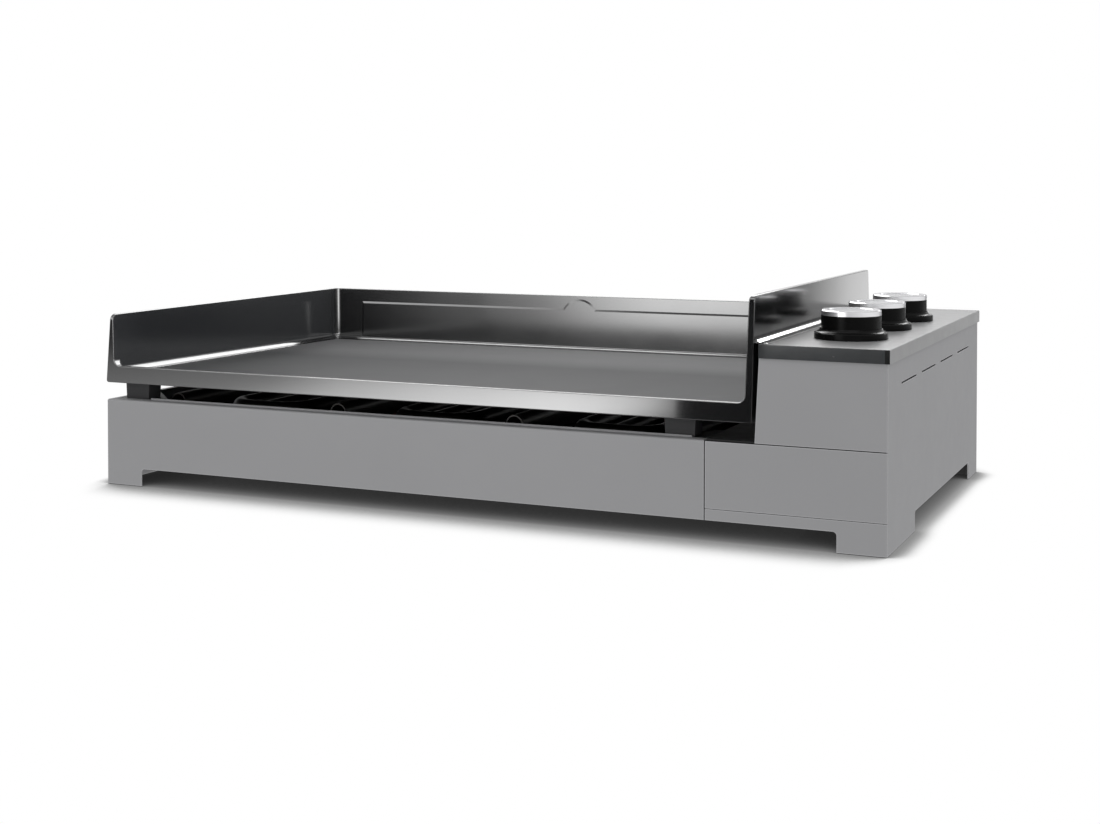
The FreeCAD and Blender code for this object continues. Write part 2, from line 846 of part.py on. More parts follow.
# Knobs, one set for each tap
def knob_bezels():
    """Round bases, each with a coved shoulder that rises round the knob."""
    top = cap_top + bezel_height
    high = top + shoulder_height
    rim = well_radius + shoulder_rim
    foot = bezel_radius - bezel_edge
    middle = V((rim + 2 * foot) / 3 - bezel_edge, 0, (high + 2 * top) / 3 - bezel_edge)
    before = [(rim, high), (well_radius, high), (well_radius, well_floor),
              (spindle_hole, well_floor), (spindle_hole, cap_top), (bezel_radius, cap_top),
              (bezel_radius, top - bezel_edge), (foot, top)]
    corners = [V(r, 0, z) for r, z in before]
    cove = Part.Arc(corners[-1], middle, corners[0]).toShape()
    wire = Part.Wire(Part.makePolygon(corners).Edges + [cove])
    ring = Part.Face(wire).revolve(V(0, 0, 0), V(0, 0, 1), 360)
    return group(ring.translated(V(rail_x, y, 0)) for y in knob_ys)


def tap_plug(y):
    plug = rod(tap_bore - running_gap, (rail_x, y, plug_bottom), (rail_x, y, plug_top))
    half = tang_thickness / 2 + tang_gap
    floor = tang_bottom - push_travel - push_spare
    return plug.cut(box(rail_x - tap_bore, rail_x + tap_bore, y - half, y + half,
                        floor, plug_top + sheet))


def spindle(y):
    half_width = tang_width / 2
    half_thick = tang_thickness / 2
    shaft_start = plug_top + push_spare + push_travel
    tang = box(rail_x - half_width, rail_x + half_width, y - half_thick, y + half_thick,
               tang_bottom, shaft_start)
    shaft = rod(spindle_radius, (rail_x, y, shaft_start), (rail_x, y, knob_top - knob_wall))
    slim = rod(spindle_radius, (rail_x, y, tang_bottom), (rail_x, y, shaft_start))
    return join(tang.common(slim), shaft)


def knob_body(y):
    outer = turned([(0, knob_bottom), (knob_radius, knob_bottom), (knob_radius, knob_top),
                    (0, knob_top)], rail_x, y)
    hollow = turned([(0, knob_bottom - sheet), (knob_radius - knob_wall, knob_bottom - sheet),
                     (knob_radius - knob_wall, knob_top - knob_wall), (0, knob_top - knob_wall)],
                    rail_x, y)
    hub = rod(knob_hub_radius, (rail_x, y, hub_bottom), (rail_x, y, knob_top))
    bore = rod(spindle_radius, (rail_x, y, hub_bottom - sheet), (rail_x, y, knob_top - knob_wall))
    return join(outer.cut(hollow), hub).cut(bore)


def knob_cap(y):
    top = knob_top + knob_cap_height
    profile = [(0, knob_top), (knob_radius, knob_top), (knob_radius, top - knob_cap_edge),
               (knob_radius - knob_cap_edge, top), (knob_radius - knob_cap_rim, top),
               (knob_radius - knob_cap_rim - knob_cap_recess, top - knob_cap_recess),
               (0, top - knob_cap_recess)]
    return turned(profile, rail_x, y)


def return_spring(y):
    """A compression spring round the spindle, between the tap and the knob's hub."""
    bottom = tap_top + 2 * spring_wire
    height = hub_bottom - 2 * spring_wire - bottom
    helix = Part.makeHelix(height / spring_turns, height, spring_radius)
    start = V(spring_radius, 0, 0)
    ring = Part.Wire(Part.makeCircle(spring_wire, start, V(0, 1, 0)))
    coil = Part.Wire(helix).makePipeShell([ring], True, True)
    coil.translate(V(rail_x, y, bottom))
    return coil


# Cooking plate
def left_outer_x(z):
    return plate_left_bottom + left_outer_lean * (z - plate_bottom)


def left_inner_x(z):
    return left_inner_foot + left_inner_lean * (z - plate_bottom)


def right_outer_x(z):
    return plate_right_bottom + right_outer_lean * (z - plate_bottom)


def right_inner_x(z):
    return right_inner_foot + right_inner_lean * (z - plate_bottom)


def back_inner_y(z):
    return chassis_depth - back_wall_foot + back_inner_lean * (z - plate_bottom)


def floor_z(y):
    return floor_front - floor_fall * y


def between_walls(profile):
    """The space between the side walls whose side view is the given outline."""
    ceiling = cavity_ceiling()
    across = along_y([(left_inner_x(z), z) for z in (ceiling, plate_bottom)]
                     + [(right_inner_x(z), z) for z in (plate_bottom, ceiling)],
                     -chassis_depth, 2 * chassis_depth)
    return across.common(along_x(profile, -chassis_depth, 2 * chassis_width))


def cavity_ceiling():
    return high_wall_top + 2 * cavity_radius


def side_edges(first, second):
    """The two edges along the side walls between two places given as y and z."""
    return [tuple((x_at(z), y, z) for y, z in (first, second))
            for x_at in (left_inner_x, right_inner_x)]


def cross_edge(place):
    y, z = place
    return [((left_inner_x(z), y, z), (right_inner_x(z), y, z))]


def plate_basin():
    """The space above the cooking floor, behind the low sill at the front."""
    ceiling = cavity_ceiling()
    back_y = back_inner_y(floor_front) / (1 + back_inner_lean * floor_fall)
    back_low = (back_y, floor_z(back_y))
    back_high = (back_inner_y(ceiling), ceiling)
    front_y = sill_depth + sill_run
    front_low = (front_y, floor_z(front_y))
    lean = sill_run / (sill_top - front_low[1])
    front_high = (front_y - lean * (ceiling - front_low[1]), ceiling)
    solid = between_walls([front_low, back_low, back_high, front_high])
    ends = side_edges(front_low, back_low) + side_edges(back_low, back_high)
    ends += side_edges(front_low, front_high) + cross_edge(front_low) + cross_edge(back_low)
    return rounded_between(solid, cavity_radius, ends)


def plate_mouth():
    """The opening above the sill."""
    ceiling = cavity_ceiling()
    front = -2 * cavity_radius
    back = sill_depth + 3 * cavity_radius
    solid = between_walls([(front, sill_top), (back, sill_top), (back, ceiling), (front, ceiling)])
    return rounded_between(solid, cavity_radius, side_edges((front, sill_top), (back, sill_top)))


def plate_block(x_left, z_top, y_back):
    outline = [(x_left(plate_bottom), plate_bottom), (right_outer_x(plate_bottom), plate_bottom),
               (right_outer_x(z_top), z_top), (x_left(z_top), z_top)]
    return along_y(outline, 0, y_back)


def low_tray():
    """The outside of the floor and the three low walls."""
    block = plate_block(left_outer_x, low_wall_top, chassis_depth)
    block = rounded(block, wall_corner_radius, y=0, z=low_wall_top)
    return rounded(block, skirt_corner_radius, x=plate_left_bottom, z=plate_bottom)


def high_wall():
    """The outside of the tall wall beside the controls, its back end cut at a slant."""
    inside = right_inner_x(plate_bottom) - 2 * skirt_thickness
    low_end = chassis_depth - high_wall_back_low
    top_end = chassis_depth - high_wall_back_top
    block = plate_block(lambda z: inside, high_wall_top, low_end)
    block = rounded(block, wall_corner_radius, y=0, z=high_wall_top)
    slant = (low_end - top_end) / (high_wall_top - low_wall_top)
    above = 2 * high_wall_top
    corner_y = top_end - high_wall_back_cut
    corner_z = high_wall_top - high_wall_back_cut
    cutter = along_x([(low_end, low_wall_top), (low_end, above), (corner_y, above),
                      (corner_y, high_wall_top), (top_end + slant * high_wall_back_cut, corner_z)],
                     inside - skirt_thickness, 2 * plate_right_bottom)
    return block.cut(cutter)


def griddle_plate():
    drain = rod(drain_radius, (drain_x, drain_y, plate_bottom - sheet),
                (drain_x, drain_y, floor_front + sheet))
    plate = carve(join(low_tray(), high_wall()), plate_basin(), plate_mouth())
    edges = edges_at(plate, y=0, z=sill_top) + edges_at(plate, y=0, z=plate_bottom)
    edges += edges_at(plate, y=chassis_depth, z=low_wall_top)
    edges += edges_at(plate, x=left_outer_x(low_wall_top), z=low_wall_top)
    edges += edges_at(plate, x=right_outer_x(high_wall_top), z=high_wall_top)
    plate = carve(plate.makeFillet(wall_edge_radius, edges),
                  plate_pocket(plate_bottom - sheet), drain)
    return join(plate, back_wall_relief())


def back_wall_relief():
    """The raised panel of the back wall, with sloped edges and a round bump in its top edge."""
    right = right_inner_x(relief_top) - relief_right
    middle = (plate_left_bottom + plate_right_bottom) / 2 + bump_shift
    radius = (bump_half_width ** 2 + bump_height ** 2) / (2 * bump_height)
    bump_centre = relief_top + bump_height - radius
    bottom = floor_z(chassis_depth)

    def outline(inset, y):
        """The panel's edge, drawn in by the inset, as if the wall stood upright."""
        top = relief_top - inset
        arc_radius = radius - inset
        half = math.sqrt(arc_radius ** 2 - (top - bump_centre) ** 2)
        corners = [V(middle + half, y, top), V(right - inset, y, top),
                   V(right - inset, y, bottom), V(relief_left + inset, y, bottom),
                   V(relief_left + inset, y, top), V(middle - half, y, top)]
        crown = V(middle, y, bump_centre + arc_radius)
        arc = Part.Arc(corners[-1], crown, corners[0]).toShape()
        return Part.Wire(Part.makePolygon(corners).Edges + [arc])
    slopes = Part.makeLoft([outline(0, 0), outline(relief_slope, -relief_depth)], True, True)
    root = Part.Face(outline(0, 0)).extrude(V(0, relief_root, 0))
    panel = join(slopes, root)
    panel.rotate(V(0, 0, plate_bottom), V(1, 0, 0), -math.degrees(math.atan(back_inner_lean)))
    panel.translate(V(0, chassis_depth - back_wall_foot, 0))
    return panel


def plate_feet():
    """Tapered feet that stand on the corner gussets."""
    feet = []
    back = chassis_depth - plate_foot_front - plate_foot_depth
    wide = plate_foot_width + plate_foot_taper
    for x in (plate_foot_side, divider_x - plate_foot_side - plate_foot_width):
        outline = [(x, panel_top), (x + plate_foot_width, panel_top),
                   (x + wide, floor_front), (x - plate_foot_taper, floor_front)]
        for y in (plate_foot_front, back):
            block = along_y(outline, y, y + plate_foot_depth)
            feet.append(block.common(plate_pocket(panel_top - sheet)))
    return group(feet)


def plate_pocket(bottom):
    """The space under the floor, inside the skirt."""
    front = skirt_thickness
    back = chassis_depth - skirt_thickness
    under = floor_thickness
    points = [(front, bottom), (back, bottom), (back, floor_z(back) - under),
              (front, floor_z(front) - under)]
    return along_x(points, plate_left_bottom + side_skirt_thickness,
                   plate_right_bottom - side_skirt_thickness)


def drain_spout():
    top = floor_z(drain_y) - floor_thickness
    y0 = drain_y - spout_radius - spout_flange
    y1 = drain_y + spout_radius + spout_flange
    tube = rod(spout_radius, (drain_x, drain_y, spout_end), (drain_x, drain_y, floor_front))
    flange = rod(spout_radius + spout_flange, (drain_x, drain_y, top - 2 * sheet),
                 (drain_x, drain_y, floor_front))
    bore = rod(drain_radius, (drain_x, drain_y, spout_end - sheet),
               (drain_x, drain_y, floor_front + sheet))
    body = join(tube, flange).common(plate_pocket(spout_end))
    return body.cut(bore)


def plate_drip_ledge():
    """A flashing that slopes down from the tall wall and covers the gap to the housing."""
    low = cap_top + ledge_gap
    flat = low + ledge_thickness
    high = flat + ledge_rise
    wall = right_outer_x(high)
    reach = cap_left + ledge_reach
    return along_y([(right_outer_x(low), low), (reach, low), (reach, flat),
                    (wall + ledge_head + ledge_slope, flat), (wall + ledge_head, high),
                    (wall, high)], ledge_front, chassis_depth - ledge_back)


# Grease drawer
def drawer_front():
    face = box(bay_start_x, chassis_width, 0, sheet, rail_top + drawer_gap, drawer_top)
    face = rounded(face, corner_radius, x=chassis_width, y=0)
    low = rail_top + drawer_gap + ring_inset
    high = drawer_top - ring_inset
    left = bay_start_x + ring_inset
    right = bay_end_x - ring_inset
    ring = box(left, right, sheet, sheet + ring_depth, low, high)
    hollow = box(left + sheet, right - sheet, sheet, ring_depth, low + sheet, high - sheet)
    window = box(left + ring_lip, right - ring_lip, sheet, 2 * ring_depth,
                 low + ring_lip, high - ring_lip)
    return join(face, carve(ring, hollow, window))


def grease_tray():
    outer = box(tray_left, tray_right, tray_front, tray_back, tray_bottom, tray_rim_height)
    inner = box(tray_left + tray_wall, tray_right - tray_wall, tray_front + tray_wall,
                tray_back - tray_wall, tray_bottom + tray_wall, 2 * tray_rim_height)
    return outer.cut(inner)


def drawer_runners():
    runners = []
    for wall, way in ((panel_end_x, 1), (bay_end_x, -1)):
        web = wall + way * sheet
        end = wall + way * runner_reach
        y0 = runner_front
        y1 = chassis_depth - sheet - runner_back_gap
        top = runner_bottom + runner_height
        parts = [box(min(wall, web), max(wall, web), y0, y1, runner_bottom, top)]
        for z in (runner_bottom, top - sheet):
            parts.append(box(min(wall, end), max(wall, end), y0, y1, z, z + sheet))
        runners.append(join(*parts))
    return group(runners)


def drawer_slides():
    bars = []
    low = runner_bottom + sheet + slide_gap
    high = runner_bottom + runner_height - sheet - slide_gap
    for wall, side, way in ((panel_end_x, tray_left, 1), (bay_end_x, tray_right, -1)):
        start = wall + way * (sheet + slide_clear)
        bars.append(box(min(start, side), max(start, side), tray_front + sheet,
                        tray_front + sheet + slide_length, low, high))
    return group(bars)


# Feet and fasteners
def foot_glides():
    pads = []
    for x in (sheet, bay_end_x - glide_size):
        for y in (sheet, chassis_depth - sheet - glide_size):
            pads.append(box(x, x + glide_size, y, y + glide_size, 0, glide_height))
    return group(pads)


def back_screw_places():
    row = (screw_inset, chassis_width / 2, divider_x - screw_inset, chassis_width - screw_inset)
    places = [(x, panel_top - screw_drop) for x in row]
    return places + [(x, cap_bottom - screw_drop)
                     for x in (cap_left + screw_inset, chassis_width - screw_inset)]


def back_screws():
    """Pan head screws whose heads lie against the back panel."""
    screws = []
    y = chassis_depth
    for x, z in back_screw_places():
        head = rod(screw_head_radius, (x, y, z), (x, y + screw_head_height, z))
        shank = rod(screw_radius, (x, y - screw_length, z), (x, y, z))
        screws.append(join(head, shank))
    return group(screws)


def place(shape):
    moved = shape.copy()
    moved.translate(V(-origin_x, -origin_y, 0))
    return moved


# Every sub-part by its node name
nodes = {
    "front_panel": front_panel,
    "left_side_panel": left_side_panel,
    "right_side_panel": right_side_panel,
    "back_panel": back_panel,
    "lower_front_rail": lower_front_rail,
    "drawer_bay_divider": drawer_bay_divider,
    "drawer_bay_deck": drawer_bay_deck,
    "drawer_bay_floor": drawer_bay_floor,
    "base_tray": base_tray,
    "corner_gussets": corner_gussets,
    "burner_rails": burner_rails,
    "cross_ribs": cross_ribs,
    "thermocouples": thermocouples,
    "spark_electrodes": spark_electrodes,
    "injectors": injectors,
    "feed_pipes": feed_pipes,
    "gas_rail": gas_rail,
    "gas_rail_brackets": gas_rail_brackets,
    "gas_inlet": gas_inlet,
    "gas_taps": gas_taps,
    "igniter_box": igniter_box,
    "ignition_leads": ignition_leads,
    "housing_front_panel": housing_front_panel,
    "housing_left_panel": housing_left_panel,
    "control_cap": control_cap,
    "cap_front_trim": cap_front_trim,
    "knob_bezels": knob_bezels,
    "foot_glides": foot_glides,
    "back_screws": back_screws,
    "drawer_runners": drawer_runners,
    "griddle_plate": griddle_plate,
    "plate_feet": plate_feet,
    "plate_drip_ledge": plate_drip_ledge,
    "drain_spout": drain_spout,
    "drawer_front": drawer_front,
    "grease_tray": grease_tray,
    "drawer_slides": drawer_slides,
}
shapes = {name: make() for name, make in nodes.items()}
for name, x in zip(("left", "middle", "right"), burner_xs):
    shapes["burner_" + name] = burner(x)
knob_parts = {"tap_plug": tap_plug, "spindle": spindle, "knob_body": knob_body,
              "knob_cap": knob_cap, "return_spring": return_spring}
for name, y in zip(("front", "middle", "rear"), knob_ys):
    for piece, make in knob_parts.items():
        shapes[piece + "_" + name] = make(y)

os.makedirs("parts", exist_ok=True)
for name, shape in shapes.items():
    place(shape).exportStep("parts/" + name + ".step")
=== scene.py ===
"""Looks of the table-top gas griddle: materials, fine pieces, studio and camera."""
import bpy
import json
import math
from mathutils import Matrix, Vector


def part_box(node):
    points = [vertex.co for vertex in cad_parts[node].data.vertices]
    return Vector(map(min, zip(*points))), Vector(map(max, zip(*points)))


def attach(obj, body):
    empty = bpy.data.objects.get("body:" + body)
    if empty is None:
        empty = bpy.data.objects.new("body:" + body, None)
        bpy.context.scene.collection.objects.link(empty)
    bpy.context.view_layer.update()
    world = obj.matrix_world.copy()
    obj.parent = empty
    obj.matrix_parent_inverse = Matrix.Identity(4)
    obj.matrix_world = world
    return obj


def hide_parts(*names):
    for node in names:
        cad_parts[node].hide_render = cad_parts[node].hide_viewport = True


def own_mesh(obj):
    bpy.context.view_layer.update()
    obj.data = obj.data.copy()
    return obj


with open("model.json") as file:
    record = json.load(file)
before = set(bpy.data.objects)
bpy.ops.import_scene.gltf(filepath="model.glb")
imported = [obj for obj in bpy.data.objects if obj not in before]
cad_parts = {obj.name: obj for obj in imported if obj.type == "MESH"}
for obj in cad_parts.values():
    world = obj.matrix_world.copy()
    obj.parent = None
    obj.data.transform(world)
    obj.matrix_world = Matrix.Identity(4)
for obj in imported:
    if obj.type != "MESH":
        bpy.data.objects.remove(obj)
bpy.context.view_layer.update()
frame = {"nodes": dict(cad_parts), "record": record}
nodes = frame["nodes"]
knob_places = ("front", "middle", "rear")

# Camera: metres and degrees, the lens in millimetres on a 36 mm sensor
camera_place = (0.7854, -1.7611, 0.3568)
camera_tilt = 88.6
camera_turn = 24.150
camera_lens = 53.313
camera_shift = -0.1781

# Finishes: metres, and pairs between which a tone changes
noise_low = 0.3
noise_high = 0.7
# The next two set where powder coat gets a painted highlight, lighter along its outer edges.
painted_highlight_radius = 0.0018
painted_highlight_alike = (0.86, 0.995)
enamel_wall_roughness = 0.13
enamel_floor_roughness = 0.5
enamel_wall_level = 0.5
enamel_floor_level = 0.006
enamel_drift = 0.015
enamel_floor_facing = (0.985, 0.998)
enamel_floor_height = (0.131, 0.134)
# The next two pairs paint light and shade into the enamel floor: darker to the front and to the left.
enamel_floor_painted_light_depth = (0.02, 0.23)
enamel_floor_painted_light_width = (-0.40, 0.0)
# The next three pairs paint light onto the enamel's left wall, lighter towards the rear.
enamel_left_painted_light_facing = (0.85, 0.95)
enamel_left_painted_light_place = (-0.1, 0.1)
enamel_left_painted_light_depth = (-0.18, 0.18)
knob_disc_radius = 0.0215
knob_disc_edge = 0.0003
knob_side_duller = 0.14
flashing_flange_facing = (0.90, 0.97)
# The next two paint shadow along the flashing flange's outer edge and shade along its joint with the
# wall.
flashing_edge_shadow_inset = (0.0016, 0.0013)
flashing_joint_shade_drop = (0.0010, 0.0008)
# The trim's right end is painted black as shade over this width.
trim_end_shade_inset = (0.0048, 0.0044)

# Fine pieces: metres
piece_slack = 0.00005
panel_sheet = 0.0015
inlet_stem = 0.01048
inlet_bore = 0.004
inlet_length = 0.015
inlet_collar_length = 0.004
inlet_chamfer = 0.0006
inlet_mouth = 0.0005
thread_pitch = 0.0018
thread_depth = 0.0009
thread_start_gap = 0.001
thread_end_gap = 0.0015
thread_run_out = 0.0012
thread_lead_in = 0.0008
thread_sides = 48
thread_steps_per_pitch = 6
screw_head_radius = 0.004
screw_head_height = 0.0022
screw_dome = 0.62
screw_face_depth = 0.0001
screw_reach = 0.012
screw_sides = 64
screw_rings = 24
recess_depth = 0.0012
recess_half_width = 0.00045
recess_reach = 0.0023
recess_slope = 0.0007
spring_wire = 0.0006
spring_turns = 5
spring_steps = 24
spring_sides = 8

# Studio: levels are radiances, and reflectors are seen in shiny surfaces only
floor_size = 12.0
floor_drop = 0.0001
floor_glow = 0.88
world_level = 0.92
backdrop_level = 1.0
shadow_samples = 24
reflector_peak = 7.0
front_reflector_y = -1.1
ground_reflector_depth = 0.5
side_reflector_y = 1.3
side_fade_height = (0.21, 0.28)
side_top_level = 1.0
even_level = 3.4
shadow_reach = ((-0.50, 0.012), (-0.44, 0.10), (0.42, 0.10), (0.47, 0.04), (0.52, 0.025))
shadow_tone = ((0.0, 0.010), (0.06, 0.026), (0.12, 0.066), (0.20, 0.115), (0.35, 0.16),
               (0.58, 0.29), (0.68, 0.49), (0.76, 0.75), (0.84, 0.92), (0.90, 1.0))
ground_band = ((-1.10, 1.07), (-0.95, 1.25), (-0.87, 1.25), (-0.80, 1.25), (-0.73, 1.95),
               (-0.66, 3.6), (-0.53, 4.85), (-0.40, 5.9), (-0.27, 7.0), (-0.21, 7.0),
               (-0.15, 7.0), (-0.09, 5.6), (-0.05, 1.6), (0.0, 0.2), (0.03, 0.0))
low_band = ((-1.15, 0.0), (-1.08, 0.0), (-0.95, 0.03), (-0.82, 0.1), (-0.70, 0.35),
            (-0.58, 0.9), (-0.46, 2.0), (-0.25, 2.2), (-0.18, 1.5), (-0.10, 0.0))
middle_band = ((-1.15, 0.0), (-1.08, 0.2), (-1.03, 0.45), (-0.95, 0.6), (-0.83, 0.7),
               (-0.70, 1.3), (-0.58, 3.2), (-0.46, 4.2), (-0.35, 4.5), (-0.25, 4.0),
               (-0.18, 3.0), (-0.10, 2.0), (0.0, 2.4), (0.07, 2.6), (0.147, 1.5),
               (0.25, 0.1), (0.40, 0.1), (0.60, 0.5), (1.4, 0.9))
high_band = ((-1.22, 0.05), (-1.08, 0.6), (-0.95, 1.2), (-0.83, 1.5), (-0.72, 2.0),
             (-0.58, 4.7), (-0.46, 6.0), (-0.35, 6.4), (-0.25, 6.2), (-0.18, 5.0),
             (-0.10, 4.6), (0.0, 4.8), (0.07, 4.8), (0.15, 2.5), (0.25, 0.3),
             (0.40, 0.2), (0.60, 0.5), (1.4, 0.9))
relief_band = ((-1.45, 3.4), (-0.90, 2.6), (-0.72, 1.9), (-0.60, 0.6), (-0.30, 0.5))
side_band = ((-0.30, 1.0), (0.20, 1.95), (0.58, 1.9), (0.61, 1.75), (0.63, 1.45),
             (0.655, 0.97), (0.68, 0.54), (0.70, 0.27), (0.72, 0.03), (0.75, 0.0),
             (0.79, 0.0), (0.84, 0.9), (0.88, 0.75), (0.93, 0.35), (0.98, 0.05), (1.15, 0.0))

# What takes over as the front card goes up, and the heights between which it does
front_bands = ((low_band, 0.015, 0.045), (middle_band, 0.06, 0.095), (high_band, 0.095, 0.145),
               (even_level, 0.30, 0.42), (relief_band, 0.72, 0.84), (even_level, 1.25, 1.40))


def tree_of(material):
    material.use_nodes = True
    return material.node_tree


def shader_of(tree):
    return tree.nodes["Principled BSDF"]


def add(tree, kind, **settings):
    """A node with its settings, such as its operation."""
    made = tree.nodes.new(kind)
    for key, value in settings.items():
        setattr(made, key, value)
    return made


def join(tree, source, target):
    tree.links.new(source, target)


def principled(name, color, roughness, metallic=0.0, **more):
    """A material with these constants; an underscore in a name stands for a space."""
    material = bpy.data.materials.new(name)
    shader = shader_of(tree_of(material))
    shader.inputs["Base Color"].default_value = (*color, 1.0)
    shader.inputs["Roughness"].default_value = roughness
    shader.inputs["Metallic"].default_value = metallic
    for key, value in more.items():
        shader.inputs[key.replace("_", " ")].default_value = value
    return material


def scaled(color, share):
    return [channel * share for channel in color]


def place_of(tree, scale=(1, 1, 1), offset=(0, 0, 0)):
    """Object coordinates in metres, stretched and then moved."""
    coordinates = add(tree, "ShaderNodeTexCoord")
    mapping = add(tree, "ShaderNodeMapping")
    mapping.inputs["Scale"].default_value = scale
    mapping.inputs["Location"].default_value = offset
    join(tree, coordinates.outputs["Object"], mapping.inputs["Vector"])
    return mapping.outputs["Vector"]


def axes_of(tree, vector):
    """The sockets X, Y and Z of a vector."""
    split = add(tree, "ShaderNodeSeparateXYZ")
    join(tree, vector, split.inputs[0])
    return split.outputs


def facing_of(tree):
    """The axes of the surface's own direction."""
    return axes_of(tree, add(tree, "ShaderNodeNewGeometry").outputs["Normal"])


def noise(tree, vector, scale, detail=2.0, roughness=0.5):
    made = add(tree, "ShaderNodeTexNoise")
    made.inputs["Scale"].default_value = scale
    made.inputs["Detail"].default_value = detail
    made.inputs["Roughness"].default_value = roughness
    join(tree, vector, made.inputs["Vector"])
    return made.outputs["Fac"]


def remap(tree, value, low, high, start=noise_low, end=noise_high):
    """From low to high while the value goes from start to end."""
    made = add(tree, "ShaderNodeMapRange")
    made.inputs["From Min"].default_value = start
    made.inputs["From Max"].default_value = end
    made.inputs["To Min"].default_value = low
    made.inputs["To Max"].default_value = high
    join(tree, value, made.inputs["Value"])
    return made.outputs["Result"]


def rising(tree, value, start=noise_low, end=noise_high):
    return remap(tree, value, 0.0, 1.0, start, end)


def falling(tree, value, start, end):
    return remap(tree, value, 1.0, 0.0, start, end)


def between(tree, share, low, high):
    """A number that goes from low to high with a share from nought to one."""
    return remap(tree, share, low, high, 0.0, 1.0)


def mix(tree, share, first, second, kind="RGBA"):
    """Between two colours or two numbers, each of them a socket or a constant."""
    made = add(tree, "ShaderNodeMix", data_type=kind)
    join(tree, share, made.inputs["Factor"])
    for source, label in ((first, "A"), (second, "B")):
        if isinstance(source, bpy.types.NodeSocket):
            join(tree, source, made.inputs[label])
        elif kind == "RGBA":
            made.inputs[label].default_value = (*source, 1.0)
        else:
            made.inputs[label].default_value = source
    return made.outputs["Result"]


def tinted(tree, color, tint):
    """One colour socket times another."""
    made = add(tree, "ShaderNodeMix", data_type="RGBA", blend_type="MULTIPLY")
    made.inputs["Factor"].default_value = 1.0
    join(tree, color, made.inputs["A"])
    join(tree, tint, made.inputs["B"])
    return made.outputs["Result"]


def combine(tree, operation, first, second):
    """Two number sockets put together by one operation."""
    made = add(tree, "ShaderNodeMath", operation=operation)
    join(tree, first, made.inputs[0])
    join(tree, second, made.inputs[1])
    return made.outputs[0]


def bump(tree, height, distance, strength):
    made = add(tree, "ShaderNodeBump")
    made.inputs["Distance"].default_value = distance
    made.inputs["Strength"].default_value = strength
    join(tree, height, made.inputs["Height"])
    return made.outputs["Normal"]


def finish_with(material, color=None, roughness=None, normal=None):
    tree = material.node_tree
    for source, label in ((color, "Base Color"), (roughness, "Roughness"), (normal, "Normal")):
        if source is not None:
            join(tree, source, shader_of(tree).inputs[label])
    return material


def edge_mask(tree):
    """One close to an outer edge and nought on the flat."""
    soft = add(tree, "ShaderNodeBevel", samples=6)
    soft.inputs["Radius"].default_value = painted_highlight_radius
    geometry = add(tree, "ShaderNodeNewGeometry")
    alike = add(tree, "ShaderNodeVectorMath", operation="DOT_PRODUCT")
    join(tree, soft.outputs["Normal"], alike.inputs[0])
    join(tree, geometry.outputs["Normal"], alike.inputs[1])
    return falling(tree, alike.outputs["Value"], *painted_highlight_alike)


def powder_coat(name, color, roughness, grain=1400.0, level=0.1, edge=1.4):
    """Baked powder: a fine orange peel, a faint drift of tone and a thin painted highlight along outer
    edges.
    """
    material = principled(name, color, roughness, Specular_IOR_Level=level)
    tree = material.node_tree
    where = place_of(tree)
    drift = rising(tree, noise(tree, where, 9.0, 3.0))
    tone = mix(tree, drift, scaled(color, 0.985), scaled(color, 1.015))
    # Painted highlight: lighter along outer edges, by the edge share.
    painted_edge_highlight = mix(tree, edge_mask(tree), tone, scaled(color, edge))
    peel = noise(tree, where, grain, 1.0)
    rough = remap(tree, noise(tree, where, 60.0, 3.0), roughness - 0.03, roughness + 0.03)
    return finish_with(material, painted_edge_highlight, rough, bump(tree, peel, 0.00002, 0.5))


def enamel(name):
    """Dark fired enamel on cast iron: glossy walls, a satin floor, painted light on the left wall and
    painted light and shade across the floor.
    """
    material = principled(name, (0.005, 0.0052, 0.0057), enamel_wall_roughness, IOR=1.95)
    tree = material.node_tree
    where = place_of(tree)
    place = axes_of(tree, where)
    facing = facing_of(tree)
    flat = combine(tree, "MULTIPLY", rising(tree, facing["Z"], *enamel_floor_facing),
                   falling(tree, place["Z"], *enamel_floor_height))
    # Painted light: the left wall's inner face is lighter, and more so towards the rear.
    left_wall_painted_light_mask = combine(tree, "MULTIPLY", rising(tree, facing["X"], *enamel_left_painted_light_facing),
                     falling(tree, place["X"], *enamel_left_painted_light_place))
    speckle = rising(tree, noise(tree, where, 900.0, 2.0))
    wall = mix(tree, speckle, (0.0045, 0.0047, 0.0052), (0.0055, 0.0057, 0.0062))
    side = mix(tree, rising(tree, place["Y"], *enamel_left_painted_light_depth),
               (0.029, 0.031, 0.034), (0.048, 0.050, 0.053))
    # Painted light and shade on the floor: darker to the front and to the left, lighter to the rear
    # and the right.
    rearward_painted_light = rising(tree, place["Y"], *enamel_floor_painted_light_depth)
    ground = mix(tree, rising(tree, place["X"], *enamel_floor_painted_light_width),
                 mix(tree, rearward_painted_light, (0.036, 0.037, 0.039), (0.20, 0.201, 0.204)),
                 mix(tree, rearward_painted_light, (0.082, 0.083, 0.085), (0.32, 0.321, 0.324)))
    tone = mix(tree, flat, mix(tree, left_wall_painted_light_mask, wall, side), ground)
    satin = between(tree, flat, enamel_wall_roughness, enamel_floor_roughness)
    drift = remap(tree, noise(tree, where, 12.0, 4.0), -enamel_drift, enamel_drift)
    level = between(tree, flat, enamel_wall_level, enamel_floor_level)
    join(tree, level, shader_of(tree).inputs["Specular IOR Level"])
    pebble = noise(tree, where, 500.0, 1.0)
    return finish_with(material, tone, combine(tree, "ADD", satin, drift),
                       bump(tree, pebble, 0.00001, 0.3))


